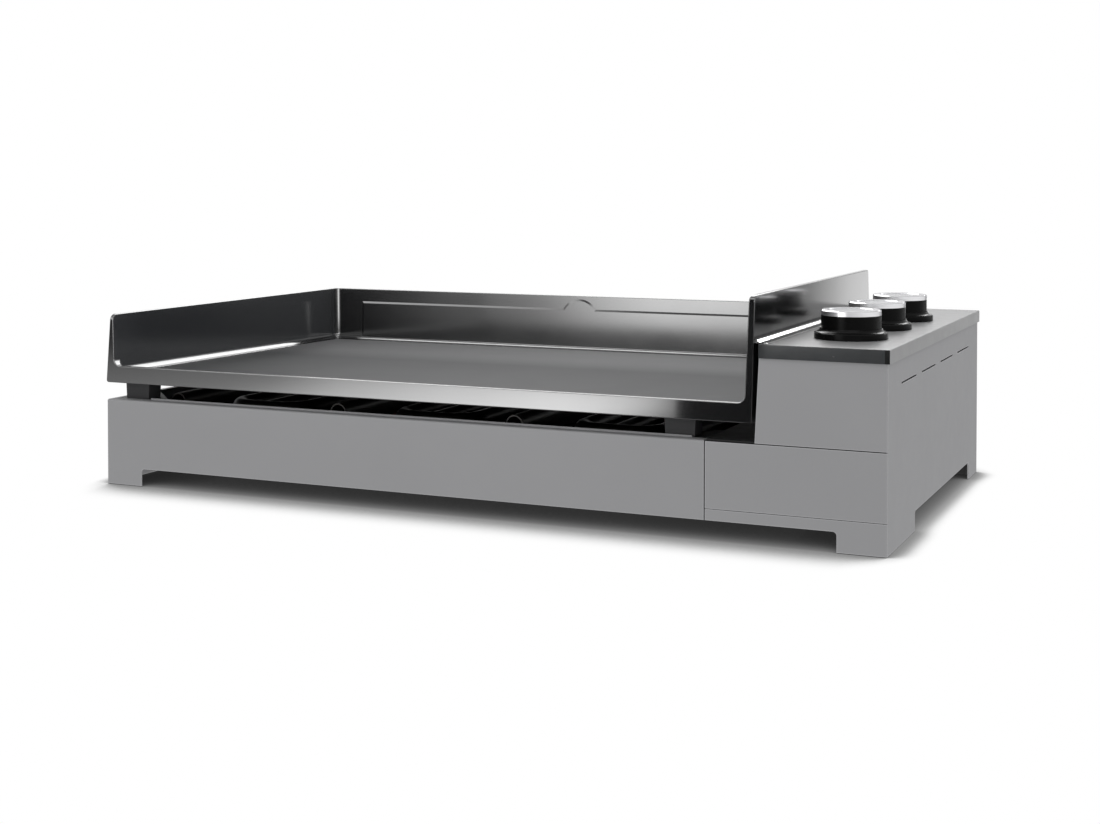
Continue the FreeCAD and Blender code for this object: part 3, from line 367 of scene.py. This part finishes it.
def brushed(name, color, roughness, direction):
    """Metal with fine lines along one axis."""
    material = principled(name, color, roughness, 1.0)
    tree = material.node_tree
    stretch = [1.0 if axis == direction else 60.0 for axis in "xyz"]
    lines = noise(tree, place_of(tree, stretch), 30.0, 4.0, 0.7)
    tone = mix(tree, rising(tree, lines), scaled(color, 0.88), color)
    rough = remap(tree, lines, roughness - 0.08, roughness + 0.08)
    return finish_with(material, tone, rough, bump(tree, lines, 0.00002, 0.3))


def plain_metal(name, color, roughness):
    """Cast, drawn or turned metal with a fine uneven skin."""
    material = principled(name, color, roughness, 1.0)
    tree = material.node_tree
    skin = noise(tree, place_of(tree), 500.0, 3.0)
    tone = mix(tree, rising(tree, skin), scaled(color, 0.9), color)
    rough = remap(tree, skin, roughness - 0.05, roughness + 0.05)
    return finish_with(material, tone, rough, bump(tree, skin, 0.00003, 0.25))


def moulded(name, color, roughness, grain=1200.0, depth=0.00001, level=0.5):
    """Moulded plastic or rubber."""
    material = principled(name, color, roughness, Specular_IOR_Level=level)
    tree = material.node_tree
    where = place_of(tree)
    skin = noise(tree, where, grain, 2.0)
    tone = mix(tree, rising(tree, skin), scaled(color, 0.85), color)
    rough = remap(tree, noise(tree, where, 80.0, 3.0), roughness - 0.03, roughness + 0.03)
    return finish_with(material, tone, rough, bump(tree, skin, depth, 0.4))


def turned_face(name, color, roughness, centre, disc_radius):
    """Metal turned about a vertical axis: fine rings, a darker disc inside the rim, and a painted
    highlight that makes the sides lighter than the top.
    """
    material = principled(name, color, roughness, 1.0, Specular_Tint=(0.62, 0.62, 0.63, 1.0))
    tree = material.node_tree
    where = place_of(tree, offset=[-along for along in centre])
    flat = add(tree, "ShaderNodeMapping")
    flat.inputs["Scale"].default_value = (1.0, 1.0, 0.0)
    join(tree, where, flat.inputs["Vector"])
    reach = add(tree, "ShaderNodeVectorMath", operation="LENGTH")
    join(tree, flat.outputs["Vector"], reach.inputs[0])
    inside = falling(tree, reach.outputs["Value"], disc_radius - knob_disc_edge, disc_radius)
    rings = add(tree, "ShaderNodeTexWave", wave_type="RINGS", rings_direction="Z")
    rings.inputs["Scale"].default_value = 420.0
    rings.inputs["Distortion"].default_value = 2.0
    rings.inputs["Detail"].default_value = 3.0
    join(tree, where, rings.inputs["Vector"])
    lines = rings.outputs["Fac"]
    rim = mix(tree, lines, scaled(color, 0.96), color)
    disc = mix(tree, lines, scaled(color, 0.76), scaled(color, 0.80))
    # Painted highlight: the sides are lighter than the top.
    side = mix(tree, lines, scaled(color, 1.35), scaled(color, 1.42))
    upward = rising(tree, facing_of(tree)["Z"], 0.3, 0.6)
    tone = mix(tree, upward, side, mix(tree, inside, rim, disc))
    rough = between(tree, upward, roughness + knob_side_duller, roughness)
    return finish_with(material, tone, rough, bump(tree, lines, 0.00001, 0.15))


def flashing_steel(name):
    """Bright rolled steel with a dull flat flange, a painted shadow along the flange's outer edge and
    painted shade along the joint with the wall.
    """
    material = plain_metal(name, (0.90, 0.90, 0.90), 0.16)
    tree = material.node_tree
    place = axes_of(tree, place_of(tree))
    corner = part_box("plate_drip_ledge")[1]
    flat = rising(tree, facing_of(tree)["Z"], *flashing_flange_facing)
    # Painted shadow: the flange goes black towards its outer edge.
    outer = rising(tree, place["X"], *[corner[0] - inset for inset in flashing_edge_shadow_inset])
    # Painted shade: black along the joint with the wall.
    joint_painted_shade = rising(tree, place["Z"], *[corner[2] - drop for drop in flashing_joint_shade_drop])
    flange = mix(tree, outer, (0.05, 0.05, 0.05), (0.002, 0.002, 0.002))
    joint_shade_tone = mix(tree, joint_painted_shade, (1.0, 1.0, 1.0), (0.01, 0.01, 0.01))
    tone = tinted(tree, mix(tree, flat, (0.90, 0.90, 0.90), flange), joint_shade_tone)
    dull = combine(tree, "MAXIMUM", flat, joint_painted_shade)
    shader = shader_of(tree)
    shader.inputs["Specular IOR Level"].default_value = 0.05
    join(tree, falling(tree, dull, 0.0, 1.0), shader.inputs["Metallic"])
    return finish_with(material, tone, between(tree, dull, 0.16, 0.55))


def trim_coat(name):
    """Dark trim whose right end is painted black as shade where its return begins."""
    color = (0.028, 0.030, 0.032)
    material = moulded(name, color, 0.25)
    tree = material.node_tree
    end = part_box("cap_front_trim")[1][0]
    place = axes_of(tree, place_of(tree))
    # Painted shade: black at the right end.
    black = rising(tree, place["X"], *[end - inset for inset in trim_end_shade_inset])
    return finish_with(material, mix(tree, black, color, (0.001, 0.001, 0.001)))


finishes = {
    "grey_powder_coat": powder_coat("grey_powder_coat", (0.290, 0.290, 0.297), 0.62),
    "cap_grey": powder_coat("cap_grey", (0.24, 0.24, 0.243), 0.34, 1800.0, 0.10, 1.15),
    "dark_trim": trim_coat("dark_trim"),
    # A black coat, made darker still as painted shade of the space under the plate.
    "inner_steel": powder_coat("inner_steel", (0.014, 0.014, 0.0145), 0.45, edge=1.6),
    "bright_steel": plain_metal("bright_steel", (0.90, 0.90, 0.90), 0.16),
    # Partly heat-darkened steel, made darker still as painted shade of the space under the plate.
    "burner_steel": brushed("burner_steel", (0.06, 0.058, 0.056), 0.34, "y"),
    "sensor_steel": plain_metal("sensor_steel", (0.45, 0.42, 0.38), 0.35),
    "electrode_ceramic": moulded("electrode_ceramic", (0.80, 0.78, 0.73), 0.22),
    "brass": plain_metal("brass", (0.72, 0.55, 0.27), 0.28),
    "pipe_aluminium": plain_metal("pipe_aluminium", (0.72, 0.72, 0.73), 0.33),
    "rail_steel": plain_metal("rail_steel", (0.50, 0.50, 0.52), 0.30),
    "tap_alloy": plain_metal("tap_alloy", (0.62, 0.62, 0.63), 0.42),
    "igniter_plastic": moulded("igniter_plastic", (0.02, 0.02, 0.02), 0.5),
    "lead_sleeve": moulded("lead_sleeve", (0.30, 0.035, 0.025), 0.5),
    "bezel_black": moulded("bezel_black", (0.004, 0.004, 0.004), 0.22, level=0.08),
    "glide_rubber": moulded("glide_rubber", (0.025, 0.025, 0.025), 0.75, 900.0, 0.00004),
    "screw_zinc": plain_metal("screw_zinc", (0.62, 0.62, 0.62), 0.25),
    "plate_enamel": enamel("plate_enamel"),
    "knob_black": moulded("knob_black", (0.004, 0.004, 0.004), 0.28, level=0.06),
    "spindle_steel": plain_metal("spindle_steel", (0.55, 0.55, 0.56), 0.3),
    "spring_steel": plain_metal("spring_steel", (0.50, 0.50, 0.51), 0.3),
}


def centre_of(node):
    low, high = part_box(node)
    return (low + high) / 2


def dress(node, material):
    mesh = nodes[node].data
    mesh.materials.clear()
    mesh.materials.append(material)


def dress_nodes():
    """Each node in the finish of its slot, then the nodes that the photo shows otherwise."""
    for entry in frame["record"]["subparts"]:
        if entry["material_slot"] in finishes:
            dress(entry["node"], finishes[entry["material_slot"]])
    # Painted shade: the cross ribs are steel, painted near black as shade of the dark bay under the
    # plate.
    dress("cross_ribs", brushed("shade_darkened_steel", (0.05, 0.049, 0.047), 0.42, "y"))
    dress("plate_feet", powder_coat("foot_enamel", (0.05, 0.05, 0.052), 0.5, level=0.08, edge=1.2))
    dress("plate_drip_ledge", flashing_steel("flashing_steel"))
    # Painted shade: the deck, grey powder coat by its slot, takes the near-black inner finish as shade
    # under the plate.
    dress("drawer_bay_deck", finishes["inner_steel"])
    for place in knob_places:
        cap = "knob_cap_" + place
        alloy = turned_face(cap + "_alloy", (0.58, 0.58, 0.59), 0.18, centre_of(cap), knob_disc_radius)
        dress(cap, alloy)


# Fine pieces: the gas inlet's thread, the screw heads at the back and the knobs' springs
def mesh_piece(name, vertices, faces, slot, body, *stands_for):
    """A piece in its slot's finish that rides on a body and takes the place of nodes."""
    mesh = bpy.data.meshes.new(name)
    mesh.from_pydata(vertices, [], faces)
    mesh.validate()
    mesh.materials.append(finishes[slot])
    piece = bpy.data.objects.new(name, mesh)
    bpy.context.scene.collection.objects.link(piece)
    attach(piece, body)
    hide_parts(*stands_for)
    return piece


def strip_faces(first, second, sides):
    """Faces between two rings of vertices, each given by its first vertex."""
    faces = []
    for k in range(sides):
        after = (k + 1) % sides
        faces.append((first + k, second + k, second + after, first + after))
    return faces


def thread_height(along, turn):
    """The depth of a vee thread at a place along the axis and a turn about it."""
    phase = (along / thread_pitch - turn) % 1.0
    return thread_depth * abs(2.0 * phase - 1.0)


def inlet_profile(collar, turn):
    """Outline of a half section through the inlet, from the bore's inner end outwards."""
    shoulder = inlet_collar_length
    root = inlet_stem - thread_depth
    start = shoulder + thread_start_gap
    end = inlet_length - thread_end_gap
    outline = [(-panel_sheet, inlet_bore), (-panel_sheet, inlet_stem), (0.0, inlet_stem)]
    outline += [(0.0, collar - inlet_chamfer), (inlet_chamfer, collar)]
    outline += [(shoulder - inlet_chamfer, collar), (shoulder, collar - inlet_chamfer)]
    outline += [(shoulder, root), (start, root)]
    count = int((end - start) / thread_pitch * thread_steps_per_pitch)
    for step in range(count + 1):
        along = start + (end - start) * step / count
        outline.append((along, inlet_stem - thread_height(along, turn)))
    outline += [(inlet_length - thread_run_out, root), (inlet_length, root - thread_lead_in)]
    outline += [(inlet_length, inlet_bore + inlet_mouth), (inlet_length - inlet_mouth, inlet_bore)]
    return outline


def threaded_inlet():
    """The gas inlet with its outer thread and its bore."""
    low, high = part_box("gas_inlet")
    centre = (low + high) / 2
    wall = high[1] - inlet_length
    columns = []
    for k in range(thread_sides):
        turn = k / thread_sides
        angle = 2 * math.pi * turn
        outline = inlet_profile((high[0] - low[0]) / 2, turn)
        columns.append([(centre[0] + radius * math.cos(angle), wall + along,
                         centre[2] + radius * math.sin(angle)) for along, radius in outline])
    rows = len(columns[0])
    vertices = [column[row] for row in range(rows) for column in columns]
    faces = []
    for row in range(rows):
        after = (row + 1) % rows
        faces += strip_faces(row * thread_sides, after * thread_sides, thread_sides)
    mesh_piece("gas_inlet_threaded", vertices, faces, "brass", "chassis", "gas_inlet")


def head_height(across, up, radius, rise):
    """Height of a domed head with a cross recess at a place on its face."""
    reach = math.hypot(across, up)
    dome = rise * math.sqrt(1.0 - (reach / radius) ** 2 * screw_dome)
    short = min(abs(across), abs(up))
    long = max(abs(across), abs(up))
    if short > recess_half_width or long > recess_reach:
        return dome
    return dome - recess_depth * min(1.0, (recess_reach - long) / recess_slope)


def screw_places(face):
    """Centres of the screws, found from the outer faces of their node."""
    groups = []
    for vertex in nodes["back_screws"].data.vertices:
        x, y, z = vertex.co
        if y < face - screw_face_depth:
            continue
        for group in groups:
            if abs(group[0][0] - x) < screw_reach and abs(group[0][1] - z) < screw_reach:
                group.append((x, z))
                break
        else:
            groups.append([(x, z)])
    places = []
    for group in groups:
        xs, zs = zip(*group)
        places.append(((min(xs) + max(xs)) / 2, (min(zs) + max(zs)) / 2))
    return places


def screw_heads():
    """Domed heads with a cross recess, one for each screw at the back."""
    radius = screw_head_radius - piece_slack
    rise = screw_head_height - piece_slack
    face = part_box("back_screws")[1][1]
    wall = face - screw_head_height
    vertices = []
    faces = []
    for x, z in screw_places(face):
        first = len(vertices)
        vertices.append((x, wall + head_height(0.0, 0.0, radius, rise), z))
        for ring in range(1, screw_rings + 1):
            reach = radius * ring / screw_rings
            for k in range(screw_sides):
                angle = 2 * math.pi * k / screw_sides
                across, up = reach * math.cos(angle), reach * math.sin(angle)
                vertices.append((x + across, wall + head_height(across, up, radius, rise), z + up))
        rings = [first + 1 + ring * screw_sides for ring in range(screw_rings + 1)]
        rim, foot = rings[-2:]
        vertices += [(vertices[rim + k][0], wall, vertices[rim + k][2]) for k in range(screw_sides)]
        for k in range(screw_sides):
            after = (k + 1) % screw_sides
            faces.append((first, first + 1 + after, first + 1 + k))
            for inner, outer in zip(rings, rings[1:]):
                faces.append((inner + k, inner + after, outer + after, outer + k))
        faces.append(tuple(foot + k for k in range(screw_sides)))
    mesh_piece("back_screw_heads", vertices, faces, "screw_zinc", "chassis", "back_screws")


def return_spring(place):
    """A coil spring with a mesh of its own, riding on its knob."""
    node = "return_spring_" + place
    low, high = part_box(node)
    centre = (low + high) / 2
    radius = (high[0] - low[0]) / 2 - spring_wire
    start = low[2] + spring_wire
    rise = high[2] - low[2] - 2 * spring_wire
    count = spring_turns * spring_steps
    vertices = []
    for step in range(count + 1):
        angle = 2 * math.pi * step / spring_steps
        for k in range(spring_sides):
            around = 2 * math.pi * k / spring_sides
            reach = radius + spring_wire * math.cos(around)
            vertices.append((centre[0] + reach * math.cos(angle), centre[1] + reach * math.sin(angle),
                             start + rise * step / count + spring_wire * math.sin(around)))
    faces = [tuple(range(spring_sides))]
    for step in range(count):
        faces += strip_faces(step * spring_sides, (step + 1) * spring_sides, spring_sides)
    faces.append(tuple(count * spring_sides + k for k in reversed(range(spring_sides))))
    piece = mesh_piece("coil_spring_" + place, vertices, faces, "spring_steel", "knob_" + place, node)
    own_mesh(piece)


# Studio: a white floor and world, with reflectors for the shiny surfaces
def mix_light(tree, share, first, second):
    mixed = add(tree, "ShaderNodeMixShader")
    for source, socket in zip((share, first, second), mixed.inputs):
        join(tree, source, socket)
    return mixed.outputs[0]


def make_world():
    """White light, and a white backdrop to the camera and in shiny or clear surfaces."""
    world = bpy.data.worlds.new("studio")
    bpy.context.scene.world = world
    world.use_nodes = True
    tree = world.node_tree
    lit = tree.nodes["Background"]
    seen = add(tree, "ShaderNodeBackground")
    for background, level in ((lit, world_level), (seen, backdrop_level)):
        background.inputs["Color"].default_value = (1.0, 1.0, 1.0, 1.0)
        background.inputs["Strength"].default_value = level
    path = add(tree, "ShaderNodeLightPath").outputs
    direct = combine(tree, "MAXIMUM", path["Is Camera Ray"], path["Is Glossy Ray"])
    direct = combine(tree, "MAXIMUM", direct, path["Is Transmission Ray"])
    light = mix_light(tree, direct, lit.outputs[0], seen.outputs[0])
    join(tree, light, tree.nodes["World Output"].inputs["Surface"])


def steps(tree, value, stops, peak):
    """A curve through the given stops, each a place and its level."""
    first = stops[0][0]
    last = stops[-1][0]
    ramp = add(tree, "ShaderNodeValToRGB")
    marks = ramp.color_ramp.elements
    while len(marks) < len(stops):
        marks.new(0.5)
    for mark, (place, level) in zip(marks, stops):
        mark.position = (place - first) / (last - first)
        tone = level / peak
        mark.color = (tone, tone, tone, 1.0)
    join(tree, rising(tree, value, first, last), ramp.inputs["Fac"])
    raised = add(tree, "ShaderNodeMath", operation="MULTIPLY")
    raised.inputs[1].default_value = peak
    join(tree, ramp.outputs["Color"], raised.inputs[0])
    return raised.outputs[0]


def own_place(tree):
    """The axes of a studio piece's own coordinates in metres."""
    return axes_of(tree, add(tree, "ShaderNodeTexCoord").outputs["Object"])


def emission(tree, strength):
    made = add(tree, "ShaderNodeEmission")
    join(tree, strength, made.inputs["Strength"])
    return made.outputs[0]


def glowing(name, light_of):
    """A material that gives the light that its own nodes say, and reflects none."""
    material = bpy.data.materials.new(name)
    tree = tree_of(material)
    tree.nodes.clear()
    out = add(tree, "ShaderNodeOutputMaterial")
    join(tree, light_of(tree), out.inputs["Surface"])
    return material


def floor_light(tree):
    """White to the camera but for a soft shadow close to the part, and an even glow elsewhere."""
    near = add(tree, "ShaderNodeAmbientOcclusion", samples=shadow_samples)
    join(tree, steps(tree, own_place(tree)["X"], shadow_reach, 1.0), near.inputs["Distance"])
    seen = emission(tree, steps(tree, near.outputs["AO"], shadow_tone, 1.0))
    glow = add(tree, "ShaderNodeEmission")
    glow.inputs["Strength"].default_value = floor_glow
    path = add(tree, "ShaderNodeLightPath").outputs
    return mix_light(tree, path["Is Camera Ray"], glow.outputs[0], seen)


def make_floor():
    bpy.ops.mesh.primitive_plane_add(size=floor_size, location=(0, 0, -floor_drop))
    floor = bpy.context.object
    floor.name = "studio_floor"
    floor.data.materials.append(glowing("studio_floor", floor_light))


def reflector(name, corners, strength_of):
    """A card that only mirror-like rays see; its strength comes from its own nodes."""
    mesh = bpy.data.meshes.new(name)
    mesh.from_pydata([Vector(corner) for corner in corners], [], [range(len(corners))])
    card = bpy.data.objects.new(name, mesh)
    bpy.context.scene.collection.objects.link(card)
    mesh.materials.append(glowing(name, lambda tree: emission(tree, strength_of(tree))))
    for kind in ("camera", "diffuse", "transmission", "volume_scatter", "shadow"):
        setattr(card, "visible_" + kind, False)


def front_glow(tree):
    """Bright where the plate's walls look and dark on the right, with an even top."""
    place = own_place(tree)
    level = steps(tree, place["X"], ground_band, reflector_peak)
    for band, bottom, top in front_bands:
        if band is not even_level:
            band = steps(tree, place["X"], band, reflector_peak)
        level = mix(tree, rising(tree, place["Z"], bottom, top), level, band, "FLOAT")
    return level


def ground_glow(tree):
    return steps(tree, own_place(tree)["X"], ground_band, reflector_peak)


def side_glow(tree):
    """Bright for the rear of the tall wall and dark for its front, with an even top."""
    place = own_place(tree)
    level = steps(tree, place["X"], side_band, reflector_peak)
    return mix(tree, rising(tree, place["Z"], *side_fade_height), level, side_top_level, "FLOAT")


def even_glow(level):
    """The same strength all over a card."""
    def strength_of(tree):
        value = add(tree, "ShaderNodeValue")
        value.outputs[0].default_value = level
        return value.outputs[0]

    return strength_of


def upright(left, right, y, top):
    """Corners of a standing card, from the ground up to its top."""
    return ((left, y, 0), (right, y, 0), (right, y, top), (left, y, top))


def sloping(left, right, first, second):
    """Corners of a card between two edges along x, each given by its y and z."""
    return ((left, *first), (right, *first), (right, *second), (left, *second))


def make_reflectors():
    """Cards around and above the part, and two dark flags for the trim and the tall wall."""
    front = front_reflector_y
    back = front + ground_reflector_depth
    bright = even_glow(reflector_peak)
    dark = even_glow(0.0)
    reflector("front_reflector", upright(-1.5, 1.4, front, 2.4), front_glow)
    reflector("ground_reflector", sloping(-1.4, 1.4, (front, 0.001), (back, 0.001)), ground_glow)
    reflector("side_reflector", upright(-0.3, 1.15, side_reflector_y, 0.4), side_glow)
    reflector("top_reflector", sloping(-1.1, 0.7, (1.1, 0.62), (0.7, 1.5)), bright)
    reflector("sky_reflector", sloping(-1.5, 0.3, (0.7, 1.5), (0.25, 1.6)), bright)
    reflector("ceiling_reflector", sloping(-1.4, -0.4, (0.20, 1.85), (-0.14, 1.85)), bright)
    reflector("trim_flag", upright(0.19, 0.47, -0.40, 0.182), dark)
    reflector("wall_flag", upright(0.300, 0.327, -0.275, 0.26), dark)


def make_camera():
    data = bpy.data.cameras.new("camera")
    camera = bpy.data.objects.new("camera", data)
    bpy.context.scene.collection.objects.link(camera)
    camera.location = camera_place
    camera.rotation_euler = (math.radians(camera_tilt), 0, math.radians(camera_turn))
    data.lens = camera_lens
    data.shift_y = camera_shift
    bpy.context.scene.camera = camera


dress_nodes()
threaded_inlet()
screw_heads()
for place in knob_places:
    return_spring(place)
make_world()
make_floor()
make_reflectors()
make_camera()
bpy.context.scene.view_settings.view_transform = "Standard"
